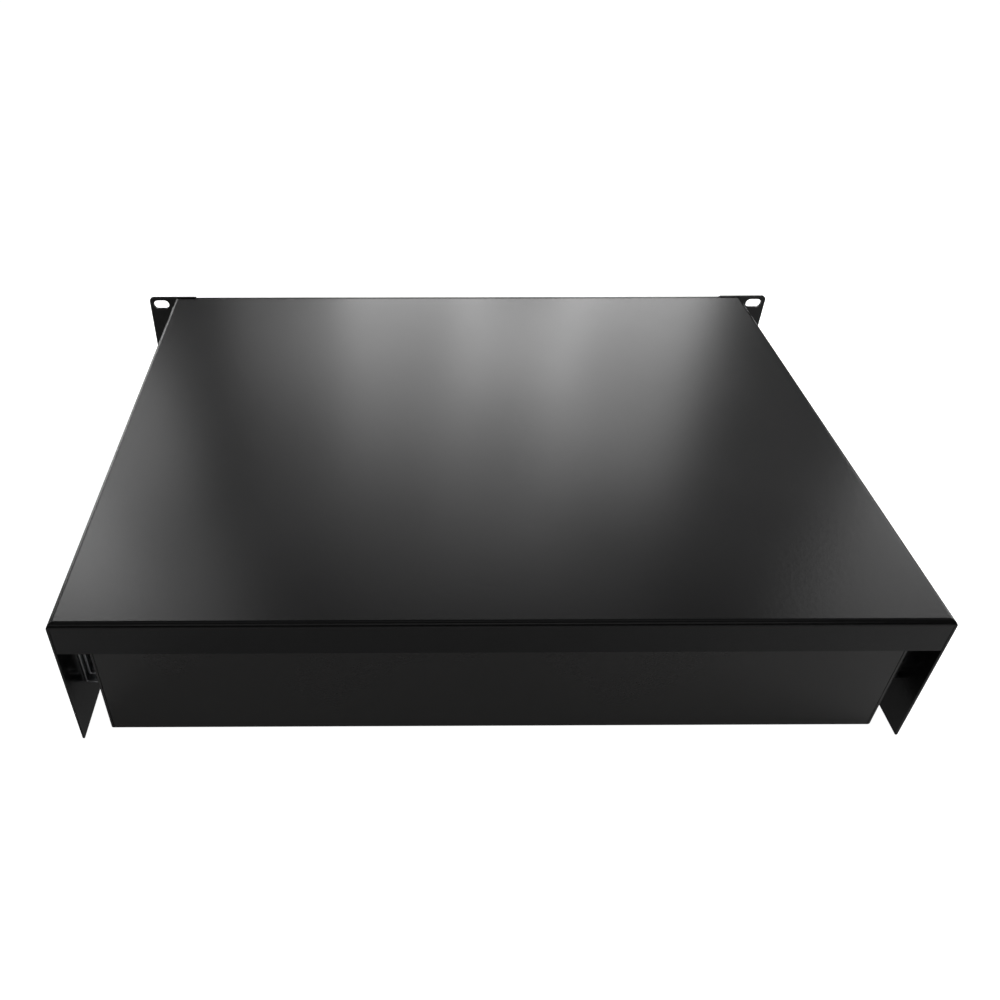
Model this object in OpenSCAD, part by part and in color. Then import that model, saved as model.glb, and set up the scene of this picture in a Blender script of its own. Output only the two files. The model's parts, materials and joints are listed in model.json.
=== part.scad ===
/* [Sleeve] */
// Width across the sleeve's side walls
sleeve_w = 442; // [440:1:444]
// Depth of the sleeve, from its front folds to its rear lip
sleeve_d = 348; // [344:1:360]
// Height of the sleeve, two rack units less a clearance
sleeve_h = 88; // [87:0.1:88.9]
// Thickness of the folded steel sheet
sheet_t = 1.2; // [1:0.1:1.5]
// Outer radius of every fold
fold_r = 3; // [2:0.5:4]
// Height of the lip folded down at the rear
rear_lip_h = 20.5; // [16:0.5:24]
// Height of the lip folded down at the front
front_lip_h = 11; // [9:1:12]
// Width of the flanges folded inwards at the front
flange_w = 13.8; // [12:0.1:14]

/* [Rack ears] */
// Overall width of the rack panel, over both ears
rack_w = 482.6; // [482:0.1:484]
// Thickness of an ear plate
ear_t = 2; // [1.5:0.1:2.5]
// Distance between the left and right slot centres
slot_span = 465.1; // [464:0.1:466]
// Distance between an ear's upper and lower slot centres
slot_rise = 76.2; // [76:0.1:76.4]
// End-to-end length of a slot
slot_len = 12; // [10:0.5:13]
// Width of a slot
slot_wide = 7; // [6.5:0.1:7.5]

/* [Drawer] */
// Outside width of the drawer tray
tray_w = 408.4; // [406:0.2:409]
// Gap below the drawer tray
tray_z = 5; // [4:0.5:10]
// Height of the tray's side walls above its floor line
tray_side_h = 61; // [58:1:62]
// Height of the tray's rear wall above its floor line
tray_rear_h = 76; // [70:1:77]
// Width of the front panel
panel_w = 440; // [438:1:441]
// Thickness of the front panel
panel_t = 2; // [1.5:0.1:2.5]

/* [Slides] */
// Closed length of a slide
slide_len = 300; // [280:5:305]
// Height of a slide's outer member
slide_h = 45; // [45:0.5:46]
// Thickness of a slide, wall to drawer
slide_t = 12.7; // [12.7:0.1:13]
// Distance from the sleeve's rear edge to the slide
slide_setback = 20; // [18:1:24]

/* [Fibre adapters] */
// Adapters on one plate
adapters_per_plate = 8; // [4:1:8]
// Distance between adapters on a plate
adapter_pitch = 12.7; // [12.5:0.1:13]
// Width of an adapter plate
plate_w = 116; // [112:1:118]
// Height of an adapter plate
plate_h = 35; // [33:1:36]

/* [Splice trays] */
// Length of a splice tray
splice_w = 170; // [160:2:180]
// Depth of a splice tray
splice_d = 110; // [100:2:120]
// Height of a splice tray
splice_h = 10; // [9:0.5:11]

/* [Hidden] */
$fn = 48;
eps = 1;

left = -1;
right = 1;
sides = [left, right];

// Planes across the depth, rear to front; y = 0 is half way over everything
closing_gap = 0.3;
adapter_reach = 15.7;
rear_y = (sleeve_d + ear_t + closing_gap + panel_t + adapter_reach) / 2;
front_y = rear_y - sleeve_d;
ear_front_y = front_y - ear_t;
panel_back_y = ear_front_y - closing_gap;
panel_front_y = panel_back_y - panel_t;
plate_t = 1.6;
plate_front_y = panel_front_y - plate_t;
tray_rear_gap = 0.5;
tray_rear_y = rear_y - sheet_t - tray_rear_gap;

// Heights and sides
wall_in = sleeve_w / 2 - sheet_t;
tray_side_top = tray_z + tray_side_h;
floor_top = tray_z + sheet_t;
tray_wall_in = tray_w / 2 - sheet_t;
mid_z = sleeve_h / 2;
seam = 0.35;

// Ears
ear_in = 205;
ear_corner_r = 3;
ear_rivet_x = wall_in - flange_w / 2;
ear_rivet_z = [14, 81.5];
rivet_r = 2;
bore_gap = 0.05;
flat_head = 1.9;

// Latches
latch_x = ear_rivet_x;
latch_z = 70.5;
latch_hole_r = 3.6;
latch_leg_r = 3.2;
latch_barrel_r = 4.2;
latch_rod_r = 1.6;

// Slides, as distances inwards from the sleeve's side wall
slide_z = 44.5;
slide_rear_y = rear_y - slide_setback;
slide_front_y = slide_rear_y - slide_len;
member_t = 1.2;
member_end = 2;
cage_t = 0.4;
outer_in = 11;
cage_gap = 0.3;
outer_cage_at = member_t + cage_gap;
middle_at = outer_cage_at + cage_t + cage_gap;
inner_cage_at = middle_at + member_t + cage_gap;
inner_at = inner_cage_at + cage_t + cage_gap + 0.1;
outer_ball_r = 1.6;
inner_ball_r = 1.2;
outer_half = slide_h / 2;
middle_half = outer_half - member_t - 2 * outer_ball_r - 2 * bore_gap;
inner_half = middle_half - member_t - 2 * inner_ball_r - 2 * bore_gap;
outer_ball_z = outer_half - member_t - bore_gap - outer_ball_r;
inner_ball_z = middle_half - member_t - bore_gap - inner_ball_r;
outer_row = [outer_ball_z, outer_ball_r, outer_cage_at];
inner_row = [inner_ball_z, inner_ball_r, inner_cage_at];
ball_at = 7.5;
cage_in = 9.6;
cage_len = 140;
cage_y = slide_front_y + 79;
ball_count = 7;
ball_pitch = 20;
slide_fix_y = [slide_front_y + 16, slide_front_y + 150, slide_rear_y - 24];
fix_r = 2;
spacer_half = 8;
notch_half = middle_half + 1;
notch_out = wall_in - middle_at + 0.7;

// Release levers in the inner members
lever_at = 5.4;
lever_t = 3;
lever_pivot_y = slide_front_y + 138;
lever_len = 56;
lever_end_r = 4.5;
lever_tip_r = 3;
lever_pin_r = 2;

// Front panel
panel_z = 2;
panel_top = sleeve_h - 2;
columns = 3;
rows = 2;
column_pitch = 119;
row_pitch = 38.5;
window_w = 104;
window_h = 29;
plate_rivet_inset = 3.6;
plate_rivet_r = 1.5;
panel_screw_r = 1.5;
panel_screw_x = 195.5;
panel_screw_z = [22, 62];

// Adapters
adapter_w = 9.4;
adapter_h = 13.2;
adapter_flange_h = 22;
adapter_flange_t = 1.6;
adapter_nose = 8.4;
adapter_tail = 17;
port_w = 7.6;
port_h = 9.6;
port_depth = 9;
ferrule_r = 1.25;
adapter_hole_r = 1;
adapter_hole_z = 9;
adapter_gap = 0.1;
cap_gap = 0.1;
cap_head = adapter_reach - plate_t - adapter_flange_t - adapter_nose;
cap_plug = 6;

// Splice trays
splice_y = 50;
splice_corner_r = 18;
splice_wall = 1.2;
splice_floor = 1.5;
splice_count = 3;
hub_x = 42;
hub_r = 24;
hub_h = 7;
stud_r = 2.5;
boss_wall = 2.5;
tube_mouth = 12;
lid_t = 1.5;
lid_top = floor_top + splice_count * splice_h + lid_t;

// Slack spools, clips and cable entry
spool_x = 144;
spool_y = 46;
spool_r = 30;
spool_arm_r = 42;
spool_h = 24;
clip_x = [-160, -80, 0, 80, 160];
clip_y = -62;
entry_y = rear_y - 12.5;
entry_z = [16, 50];
entry_w = 12;
clamp_x = 150;
clamp_y = rear_y - 24;
clamp_r = 5;
clamp_screw_y = 11;
ground_x = 0;
ground_y = rear_y - 26;

black = "#19191b";
zinc = "#b9bcc0";

function column_x(i) = (i % columns - (columns - 1) / 2) * column_pitch;
function row_z(i) = mid_z + (floor(i / columns) == 0 ? 1 : -1) * row_pitch / 2;
function adapter_x(i, k) = column_x(i) + (k - (adapters_per_plate - 1) / 2) * adapter_pitch;

// Shapes used by several parts

// Draws its children on the right side, or mirrored on the left
module on_side(side) {
    mirror([side < 0 ? 1 : 0, 0, 0]) children();
}

// Cylinder along Y from y0 to y1
module rod_y(r, y0, y1) {
    translate([0, y1, 0]) rotate([90, 0, 0]) cylinder(r = r, h = y1 - y0);
}

// Cylinder along X from x0 to x1
module rod_x(r, x0, x1) {
    translate([x0, 0, 0]) rotate([0, 90, 0]) cylinder(r = r, h = x1 - x0);
}

// Rectangle centred on the origin with round corners
module round_rect(w, h, r) {
    square([w - 2 * r, h], center = true);
    square([w, h - 2 * r], center = true);
    for (x = sides, y = sides) {
        translate([x * (w / 2 - r), y * (h / 2 - r)]) circle(r);
    }
}

// Solid of a rounded rectangle, standing on z
module round_block(w, d, h, r) {
    linear_extrude(h) round_rect(w, d, r);
}

// Obround along the first axis
module obround(len, wide) {
    square([len - wide, wide], center = true);
    for (x = sides) {
        translate([x * (len - wide) / 2, 0]) circle(wide / 2);
    }
}

// Screw with a pan head: the head's underside lies on z = 0, its shank goes down
module pan_screw(shank_r, shank_len) {
    head_r = shank_r * 1.9;
    head_h = shank_r * 1.15;
    difference() {
        union() {
            cylinder(r = head_r, h = head_h * 0.6);
            translate([0, 0, head_h * 0.6]) cylinder(r1 = head_r, r2 = head_r * 0.72, h = head_h * 0.4);
            translate([0, 0, -shank_len]) cylinder(r = shank_r, h = shank_len + eps / 2);
        }
        for (a = [0, 90]) {
            rotate([0, 0, a]) translate([-head_r * 0.5, -0.4, head_h * 0.4]) cube([head_r, 0.8, head_h]);
        }
    }
}

// Countersunk screw: its flat head ends at z = 0, its shank goes down
module flat_screw(shank_r, shank_len) {
    head_r = shank_r * flat_head;
    head_h = head_r - shank_r;
    difference() {
        union() {
            translate([0, 0, -head_h]) cylinder(r1 = shank_r, r2 = head_r, h = head_h);
            translate([0, 0, -shank_len]) cylinder(r = shank_r, h = shank_len - head_h / 2);
        }
        for (a = [0, 90]) {
            rotate([0, 0, a]) translate([-head_r * 0.55, -0.35, -head_h * 0.55])
                cube([head_r * 1.1, 0.7, head_h]);
        }
    }
}

// The hole that flat_screw fits, as a solid to cut with
module flat_hole(shank_r, depth) {
    head_r = shank_r * flat_head;
    head_h = head_r - shank_r;
    translate([0, 0, -head_h]) cylinder(r1 = shank_r + bore_gap, r2 = head_r + bore_gap, h = head_h);
    translate([0, 0, -eps / 100]) cylinder(r = head_r + bore_gap, h = eps);
    translate([0, 0, -depth - eps]) cylinder(r = shank_r + bore_gap, h = depth + eps);
}

// Sleeve: one folded sheet over the top and sides, open below

// Envelope of the sleeve, inset by a distance: upper folds rounded on every side
module sleeve_envelope(inset) {
    w = sleeve_w - 2 * inset;
    h = sleeve_h - inset;
    r = fold_r - inset;
    d = sleeve_d - 2 * inset;
    low = inset > 0 ? -eps : 0;
    intersection() {
        translate([0, rear_y + eps, 0]) rotate([90, 0, 0]) linear_extrude(sleeve_d + 2 * eps) {
            translate([-w / 2, low]) square([w, h - r - low]);
            translate([-w / 2 + r, low]) square([w - 2 * r, h - low]);
            for (x = sides) {
                translate([x * (w / 2 - r), h - r]) circle(r);
            }
        }
        translate([-w / 2 - eps, rear_y - sleeve_d / 2, 0]) rotate([90, 0, 90]) linear_extrude(w + 2 * eps) {
            translate([-d / 2, low]) square([d, h - r - low]);
            translate([-d / 2 + r, low]) square([d - 2 * r, h - low]);
            for (y = sides) {
                translate([y * (d / 2 - r), h - r]) circle(r);
            }
        }
    }
}

// Block cut from a flange and an ear, where the slide's moving members come out
module slide_notch(y0, y1) {
    translate([ear_in - eps, y0, slide_z - notch_half])
        cube([notch_out - ear_in + eps, y1 - y0, 2 * notch_half]);
}

module sleeve() {
    front_open_w = 2 * (wall_in - flange_w);
    color(black) difference() {
        sleeve_envelope(0);
        sleeve_envelope(sheet_t);
        // rear opening below the lip
        translate([-wall_in, rear_y - fold_r, -eps])
            cube([2 * wall_in, fold_r + eps, sleeve_h - rear_lip_h + eps]);
        // front opening between the flanges and below the front lip
        translate([-front_open_w / 2, front_y - eps, -eps])
            cube([front_open_w, fold_r + eps, sleeve_h - front_lip_h + eps]);
        for (side = sides) on_side(side) {
            // seams where the lips meet the side walls
            translate([wall_in - seam, rear_y - fold_r, -eps])
                cube([seam, fold_r + eps, sleeve_h - fold_r + eps]);
            // gap between a flange's top and the front lip
            translate([wall_in - flange_w - eps, front_y - eps, sleeve_h - front_lip_h])
                cube([flange_w + eps, fold_r, seam]);
            for (z = ear_rivet_z) {
                translate([ear_rivet_x, 0, z]) rod_y(rivet_r + bore_gap, front_y - eps, front_y + fold_r);
            }
            translate([latch_x, 0, latch_z]) rod_y(latch_hole_r, front_y - eps, front_y + fold_r);
            slide_notch(front_y - eps, front_y + fold_r);
            for (y = slide_fix_y) {
                translate([0, y, slide_z]) rod_x(fix_r + bore_gap, wall_in - eps, wall_in + sheet_t + eps);
            }
        }
    }
}

// Flat plate that carries an ear's two slots, riveted to the sleeve's front flange
module ear(side) {
    w = rack_w / 2 - ear_in;
    color(black) on_side(side) difference() {
        translate([ear_in, ear_front_y + ear_t, 0]) rotate([90, 0, 0]) linear_extrude(ear_t) {
            square([w - ear_corner_r, sleeve_h]);
            translate([0, ear_corner_r]) square([w, sleeve_h - 2 * ear_corner_r]);
            for (z = [ear_corner_r, sleeve_h - ear_corner_r]) {
                translate([w - ear_corner_r, z]) circle(ear_corner_r);
            }
        }
        for (z = [mid_z - slot_rise / 2, mid_z + slot_rise / 2]) {
            translate([slot_span / 2, front_y + eps, z]) rotate([90, 0, 0])
                linear_extrude(ear_t + 2 * eps) obround(slot_len, slot_wide);
        }
        for (z = ear_rivet_z) {
            translate([ear_rivet_x, ear_front_y, z]) rotate([90, 0, 0]) flat_hole(rivet_r, ear_t);
        }
        translate([latch_x, 0, latch_z]) rod_y(latch_hole_r, ear_front_y - eps, front_y + eps);
        slide_notch(ear_front_y - eps, front_y + eps);
    }
}

// Flush rivets that hold the ears to the sleeve
module ear_rivets() {
    color(black) for (side = sides, z = ear_rivet_z) {
        head_r = rivet_r * flat_head;
        head_h = head_r - rivet_r;
        end_h = 0.8;
        on_side(side) translate([ear_rivet_x, ear_front_y, z]) rotate([90, 0, 0]) {
            translate([0, 0, -head_h]) cylinder(r1 = rivet_r, r2 = head_r, h = head_h);
            translate([0, 0, -ear_t - sheet_t - end_h / 2]) cylinder(r = rivet_r, h = ear_t + sheet_t);
            translate([0, 0, -ear_t - sheet_t - end_h]) cylinder(r = rivet_r * 1.6, h = end_h);
        }
    }
}

// Slides: three nested channels a side, running on two rows of balls each

// Channel along Y, opening towards the drawer, or towards the sleeve if turned
module channel(at, to, half, y0, y1, turned = false) {
    shift = turned ? -member_t : member_t;
    difference() {
        translate([wall_in - to, y0, slide_z - half]) cube([to - at, y1 - y0, 2 * half]);
        translate([wall_in - to - shift, y0 - eps, slide_z - half + member_t])
            cube([to - at, y1 - y0 + 2 * eps, 2 * (half - member_t)]);
    }
}

module slide_outer(side) {
    color(zinc) on_side(side) difference() {
        channel(0, outer_in, outer_half, slide_front_y, slide_rear_y);
        for (y = slide_fix_y) {
            translate([0, y, slide_z]) rod_x(fix_r + bore_gap, wall_in - member_t - eps, wall_in + eps);
        }
    }
}

module slide_middle(side) {
    color(zinc) on_side(side)
        channel(middle_at, outer_in, middle_half, slide_front_y + member_end, slide_rear_y - member_end);
}

module slide_inner(side) {
    color(zinc) on_side(side) difference() {
        channel(inner_at, slide_t, inner_half, slide_front_y, slide_rear_y - member_end, true);
        for (y = slide_fix_y) {
            translate([0, y, slide_z])
                rod_x(fix_r + bore_gap, wall_in - slide_t - eps, wall_in - slide_t + member_t + eps);
        }
        translate([0, lever_pivot_y, slide_z])
            rod_x(lever_pin_r + bore_gap, wall_in - slide_t - eps, wall_in - slide_t + member_t + eps);
    }
}

// Bent strip that keeps a slide's balls apart
module ball_cage(side, row) {
    ball_z = row[0];
    ball_r = row[1];
    at = row[2];
    color("#8d9095") on_side(side) difference() {
        translate([wall_in - cage_in, cage_y, slide_z - ball_z - cage_t / 2])
            cube([cage_in - at, cage_len, 2 * ball_z + cage_t]);
        translate([wall_in - cage_in - eps, cage_y - eps, slide_z - ball_z + cage_t / 2])
            cube([cage_in - at - cage_t + eps, cage_len + 2 * eps, 2 * ball_z - cage_t]);
        for (k = [0 : ball_count - 1]) {
            translate([wall_in - ball_at, cage_y + cage_len / 2 + (k - (ball_count - 1) / 2) * ball_pitch,
                       slide_z - ball_z - eps]) cylinder(r = ball_r + bore_gap, h = 2 * ball_z + 2 * eps);
        }
    }
}

module ball_row(side, row) {
    ball_z = row[0];
    ball_r = row[1];
    color("#d9dcdf") on_side(side) for (k = [0 : ball_count - 1], z = sides) {
        translate([wall_in - ball_at, cage_y + cage_len / 2 + (k - (ball_count - 1) / 2) * ball_pitch,
                   slide_z + z * ball_z]) sphere(ball_r);
    }
}

// Rivets through the sleeve's side walls into the outer members
module slide_rivets() {
    head_t = 1;
    color(black) for (side = sides, y = slide_fix_y) {
        on_side(side) translate([0, y, slide_z]) {
            rod_x(fix_r, wall_in - member_t, wall_in + sheet_t + head_t / 2);
            rod_x(fix_r * 1.9, wall_in + sheet_t, wall_in + sheet_t + head_t);
        }
    }
}

// Strips that fill the gap between the drawer tray and the inner members
module slide_spacers() {
    color(black) for (side = sides) on_side(side) difference() {
        translate([tray_w / 2, slide_front_y + 4, slide_z - spacer_half])
            cube([wall_in - slide_t - tray_w / 2, slide_len - 10, 2 * spacer_half]);
        for (y = slide_fix_y) {
            translate([0, y, slide_z]) rod_x(fix_r + bore_gap, tray_w / 2 - eps, wall_in);
        }
        translate([0, lever_pivot_y, slide_z]) rod_x(lever_pin_r + 1, tray_w / 2 - eps, wall_in);
    }
}

module slide_screws() {
    shank = wall_in - slide_t + member_t - tray_wall_in;
    color(zinc) for (side = sides, y = slide_fix_y) {
        on_side(side) translate([tray_wall_in, y, slide_z]) rotate([0, -90, 0]) pan_screw(fix_r, shank);
    }
}

// Lever in the inner member that frees the drawer from its slide
module release_lever(side) {
    color("#111113") on_side(side) translate([wall_in - lever_at - lever_t, lever_pivot_y, slide_z])
        rotate([0, 90, 0]) difference() {
            linear_extrude(lever_t) {
                circle(lever_end_r);
                translate([-2, -lever_len]) square([4, lever_len]);
                translate([0, -lever_len]) circle(lever_tip_r);
            }
            translate([0, 0, -eps]) cylinder(r = lever_pin_r + bore_gap, h = lever_t + 2 * eps);
        }
}

// Pins that the levers turn on, with a collar behind the lever and a head in front
module lever_pins() {
    head_t = 0.5;
    web_in = wall_in - slide_t + member_t;
    color(zinc) for (side = sides) on_side(side) translate([0, lever_pivot_y, slide_z]) {
        rod_x(lever_pin_r, web_in - member_t, wall_in - lever_at + 0.1 + head_t / 2);
        rod_x(3.4, web_in, wall_in - lever_at - lever_t - 0.2);
        rod_x(3, wall_in - lever_at + 0.1, wall_in - lever_at + 0.1 + head_t);
    }
}

// Drawer tray: one folded sheet

// Envelope of the tray, inset by a distance: lower folds rounded
module tray_envelope(inset, height) {
    w = tray_w - 2 * inset;
    r = fold_r - inset;
    z0 = tray_z + inset;
    y0 = panel_back_y + (inset > 0 ? -eps : 0);
    y1 = tray_rear_y - inset;
    intersection() {
        translate([0, y1, z0]) rotate([90, 0, 0]) linear_extrude(y1 - y0) {
            translate([-w / 2, r]) square([w, height - r]);
            translate([-w / 2 + r, 0]) square([w - 2 * r, height]);
            for (x = sides) {
                translate([x * (w / 2 - r), r]) circle(r);
            }
        }
        translate([-w / 2 - eps, 0, z0]) rotate([90, 0, 90]) linear_extrude(w + 2 * eps) {
            translate([y0, r]) square([y1 - y0, height - r]);
            translate([y0, 0]) square([y1 - y0 - r, height]);
            translate([y1 - r, r]) circle(r);
        }
    }
}

// Oblong hole in a side wall that a cable comes in through
module entry_hole(wide, tall, x0, x1) {
    translate([x0, entry_y, (entry_z[0] + entry_z[1]) / 2]) rotate([0, 90, 0])
        linear_extrude(x1 - x0) obround(tall, wide);
}

module drawer_tray() {
    flange_in = 188;
    color(black) difference() {
        union() {
            difference() {
                tray_envelope(0, tray_rear_h);
                tray_envelope(sheet_t, tray_rear_h + eps);
            }
            for (side = sides) on_side(side) {
                translate([flange_in, panel_back_y, tray_z + fold_r])
                    cube([tray_wall_in - flange_in + sheet_t / 2, sheet_t, tray_side_h - fold_r]);
            }
        }
        // side walls are lower than the rear wall
        translate([-tray_w, panel_back_y - eps, tray_side_top])
            cube([2 * tray_w, tray_rear_y - sheet_t - fold_r - panel_back_y + eps, tray_rear_h]);
        for (side = sides) on_side(side) {
            // the rear wall stands between the side walls
            translate([tray_wall_in - seam, tray_rear_y - fold_r, tray_z + fold_r])
                cube([seam, fold_r + eps, tray_rear_h]);
            translate([tray_wall_in - eps / 2, tray_rear_y - 2 * fold_r, tray_side_top])
                cube([sheet_t + eps, 2 * fold_r + eps, tray_rear_h]);
            for (y = slide_fix_y) {
                translate([0, y, slide_z]) rod_x(fix_r + bore_gap, tray_wall_in - eps, tray_w / 2 + eps);
            }
            entry_hole(entry_w, entry_z[1] - entry_z[0], tray_wall_in - eps, tray_w / 2 + eps);
            for (z = panel_screw_z) {
                translate([panel_screw_x, 0, z])
                    rod_y(panel_screw_r + bore_gap, panel_back_y - eps, panel_back_y + sheet_t + eps);
            }
            translate([hub_x, splice_y, tray_z - eps]) cylinder(r = stud_r + bore_gap, h = sheet_t + 2 * eps);
            translate([spool_x, spool_y, tray_z - eps]) cylinder(r = fix_r + bore_gap, h = sheet_t + 2 * eps);
            for (y = sides) {
                translate([clamp_x, clamp_y + y * clamp_screw_y, tray_z - eps])
                    cylinder(r = fix_r + bore_gap, h = sheet_t + 2 * eps);
            }
        }
        translate([ground_x, ground_y, tray_z - eps]) cylinder(r = 3 + bore_gap, h = sheet_t + 2 * eps);
    }
}

// Front panel with a window for each adapter plate
module front_panel() {
    color(black) difference() {
        translate([0, panel_back_y, (panel_z + panel_top) / 2]) rotate([90, 0, 0])
            round_block(panel_w, panel_top - panel_z, panel_t, 2);
        for (i = [0 : columns * rows - 1]) {
            translate([column_x(i) - window_w / 2, panel_front_y - eps, row_z(i) - window_h / 2])
                cube([window_w, panel_t + 2 * eps, window_h]);
            for (x = sides) {
                translate([column_x(i) + x * (plate_w / 2 - plate_rivet_inset), 0, row_z(i)])
                    rod_y(plate_rivet_r + bore_gap, panel_front_y - eps, panel_back_y + eps);
            }
        }
        for (side = sides) on_side(side) {
            translate([latch_x, 0, latch_z])
                rod_y(latch_barrel_r + bore_gap, panel_front_y - eps, panel_back_y + eps);
            for (z = panel_screw_z) {
                translate([panel_screw_x, panel_front_y, z]) rotate([90, 0, 0])
                    flat_hole(panel_screw_r, panel_t);
            }
        }
    }
}

module panel_screws() {
    color(zinc) for (side = sides, z = panel_screw_z) {
        on_side(side) translate([panel_screw_x, panel_front_y, z]) rotate([90, 0, 0])
            flat_screw(panel_screw_r, panel_t + sheet_t + 1.5);
    }
}

// Adapter plates, their snap rivets, and the adapters with their caps

module adapter_plate(i) {
    color(black) difference() {
        translate([column_x(i), panel_front_y, row_z(i)]) rotate([90, 0, 0])
            round_block(plate_w, plate_h, plate_t, 2);
        for (k = [0 : adapters_per_plate - 1]) {
            translate([adapter_x(i, k) - adapter_w / 2 - adapter_gap, plate_front_y - eps,
                       row_z(i) - adapter_h / 2 - adapter_gap])
                cube([adapter_w + 2 * adapter_gap, plate_t + 2 * eps, adapter_h + 2 * adapter_gap]);
        }
        for (x = sides) {
            translate([column_x(i) + x * (plate_w / 2 - plate_rivet_inset), 0, row_z(i)])
                rod_y(plate_rivet_r + bore_gap, plate_front_y - eps, panel_front_y + eps);
        }
    }
}

module plate_rivets() {
    color("#0f0f11") for (i = [0 : columns * rows - 1], x = sides) {
        translate([column_x(i) + x * (plate_w / 2 - plate_rivet_inset), 0, row_z(i)]) {
            rod_y(plate_rivet_r, plate_front_y - 0.5, panel_back_y + 3);
            rod_y(2 * plate_rivet_r, plate_front_y - 1.2, plate_front_y);
            rod_y(plate_rivet_r + 0.5, panel_back_y, panel_back_y + 1.5);
        }
    }
}

module adapter_row(i) {
    flange_y = plate_front_y - adapter_flange_t;
    nose_y = flange_y - adapter_nose;
    tail_y = plate_front_y + adapter_tail;
    color("#1f5fb4") for (k = [0 : adapters_per_plate - 1]) {
        translate([adapter_x(i, k), 0, row_z(i)]) difference() {
            union() {
                translate([-adapter_w / 2, nose_y, -adapter_h / 2])
                    cube([adapter_w, tail_y - nose_y, adapter_h]);
                translate([-adapter_w / 2 - 0.5, flange_y, -adapter_flange_h / 2])
                    cube([adapter_w + 1, adapter_flange_t, adapter_flange_h]);
            }
            for (y = [nose_y - eps, tail_y - port_depth]) {
                translate([-port_w / 2, y, -port_h / 2]) cube([port_w, port_depth + eps, port_h]);
            }
            rod_y(ferrule_r, nose_y, tail_y);
            for (z = sides) {
                translate([0, 0, z * adapter_hole_z])
                    rod_y(adapter_hole_r, flange_y - eps, plate_front_y + eps);
            }
        }
    }
}

// Cap whose head lies on y = 0 and faces -Y, and whose plug goes into a port
module dust_cap() {
    rotate([90, 0, 0]) round_block(adapter_w - 0.6, adapter_h - 1.2, cap_head, 1.2);
    translate([-port_w / 2 + cap_gap, 0, -port_h / 2 + cap_gap])
        cube([port_w - 2 * cap_gap, cap_plug, port_h - 2 * cap_gap]);
}

module front_dust_caps() {
    color("#e8ecee") for (i = [0 : columns * rows - 1], k = [0 : adapters_per_plate - 1]) {
        translate([adapter_x(i, k), plate_front_y - adapter_flange_t - adapter_nose, row_z(i)]) dust_cap();
    }
}

module rear_dust_caps() {
    color("#e8ecee") for (i = [0 : columns * rows - 1], k = [0 : adapters_per_plate - 1]) {
        translate([adapter_x(i, k), plate_front_y + adapter_tail, row_z(i)]) rotate([0, 0, 180]) dust_cap();
    }
}

// Splice trays

module splice_tray(i) {
    inner_w = splice_w - 2 * splice_wall;
    inner_d = splice_d - 2 * splice_wall;
    color("#dcdddb") translate([0, splice_y, floor_top + i * splice_h]) difference() {
        union() {
            difference() {
                round_block(splice_w, splice_d, splice_h, splice_corner_r);
                translate([0, 0, splice_floor])
                    round_block(inner_w, inner_d, splice_h, splice_corner_r - splice_wall);
            }
            for (x = sides) translate([x * hub_x, 0, 0]) {
                difference() {
                    cylinder(r = hub_r, h = splice_floor + hub_h);
                    translate([0, 0, splice_floor]) cylinder(r = hub_r - splice_wall, h = hub_h + eps);
                }
                cylinder(r = stud_r + boss_wall, h = splice_h);
            }
        }
        for (x = sides) {
            translate([x * hub_x, 0, -eps]) cylinder(r = stud_r + 0.3, h = splice_h + 2 * eps);
            // mouths for the fibre tubes
            for (y = sides) {
                translate([x * (splice_w / 2 - splice_corner_r - 8), y * splice_d / 2, splice_h])
                    cube([tube_mouth, 6, 2 * (splice_h - splice_floor)], center = true);
            }
            // breaks in the hub's wall, facing the ends
            translate([x * (hub_x + hub_r) - 3, -10, splice_floor]) cube([6, 20, splice_h]);
        }
    }
}

// Rack of ribs that the splice sleeves lie between, one in each tray
module splice_combs() {
    ribs = 7;
    rib_pitch = 4.2;
    rib_h = 5;
    comb_w = 30;
    comb_d = 28;
    color("#dfe3e6") for (i = [0 : splice_count - 1]) {
        translate([0, splice_y + 38, floor_top + i * splice_h + splice_floor]) {
            translate([-comb_w / 2, -comb_d / 2, 0]) cube([comb_w, comb_d, 1]);
            for (k = [0 : ribs - 1], x = sides) {
                translate([x * comb_w / 4, (k - (ribs - 1) / 2) * rib_pitch, rib_h / 2])
                    cube([comb_w * 0.4, 1, rib_h], center = true);
            }
        }
    }
}

module splice_lid() {
    color("#c9d6dc", 0.5) translate([0, splice_y, lid_top - lid_t]) difference() {
        round_block(splice_w, splice_d, lid_t, splice_corner_r);
        for (x = sides) {
            translate([x * hub_x, 0, -eps]) cylinder(r = stud_r + 0.3, h = lid_t + 2 * eps);
        }
    }
}

module tray_studs() {
    color(zinc) for (x = sides) translate([x * hub_x, splice_y, 0]) {
        translate([0, 0, tray_z]) cylinder(r = stud_r, h = lid_top - tray_z + 9);
        translate([0, 0, tray_z - 1]) cylinder(r = stud_r * 1.8, h = 1);
    }
}

module wing_nuts() {
    color(zinc) for (x = sides) translate([x * hub_x, splice_y, lid_top]) difference() {
        union() {
            cylinder(r1 = 5, r2 = 4, h = 6);
            for (s = sides) {
                translate([s * 8, 0.8, 7]) rotate([90, 0, 0]) cylinder(r = 4.5, h = 1.6);
                translate([min(0, s * 8), -0.8, 2]) cube([8, 1.6, 5]);
            }
        }
        translate([0, 0, -eps]) cylinder(r = stud_r + bore_gap, h = 14);
    }
}

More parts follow.
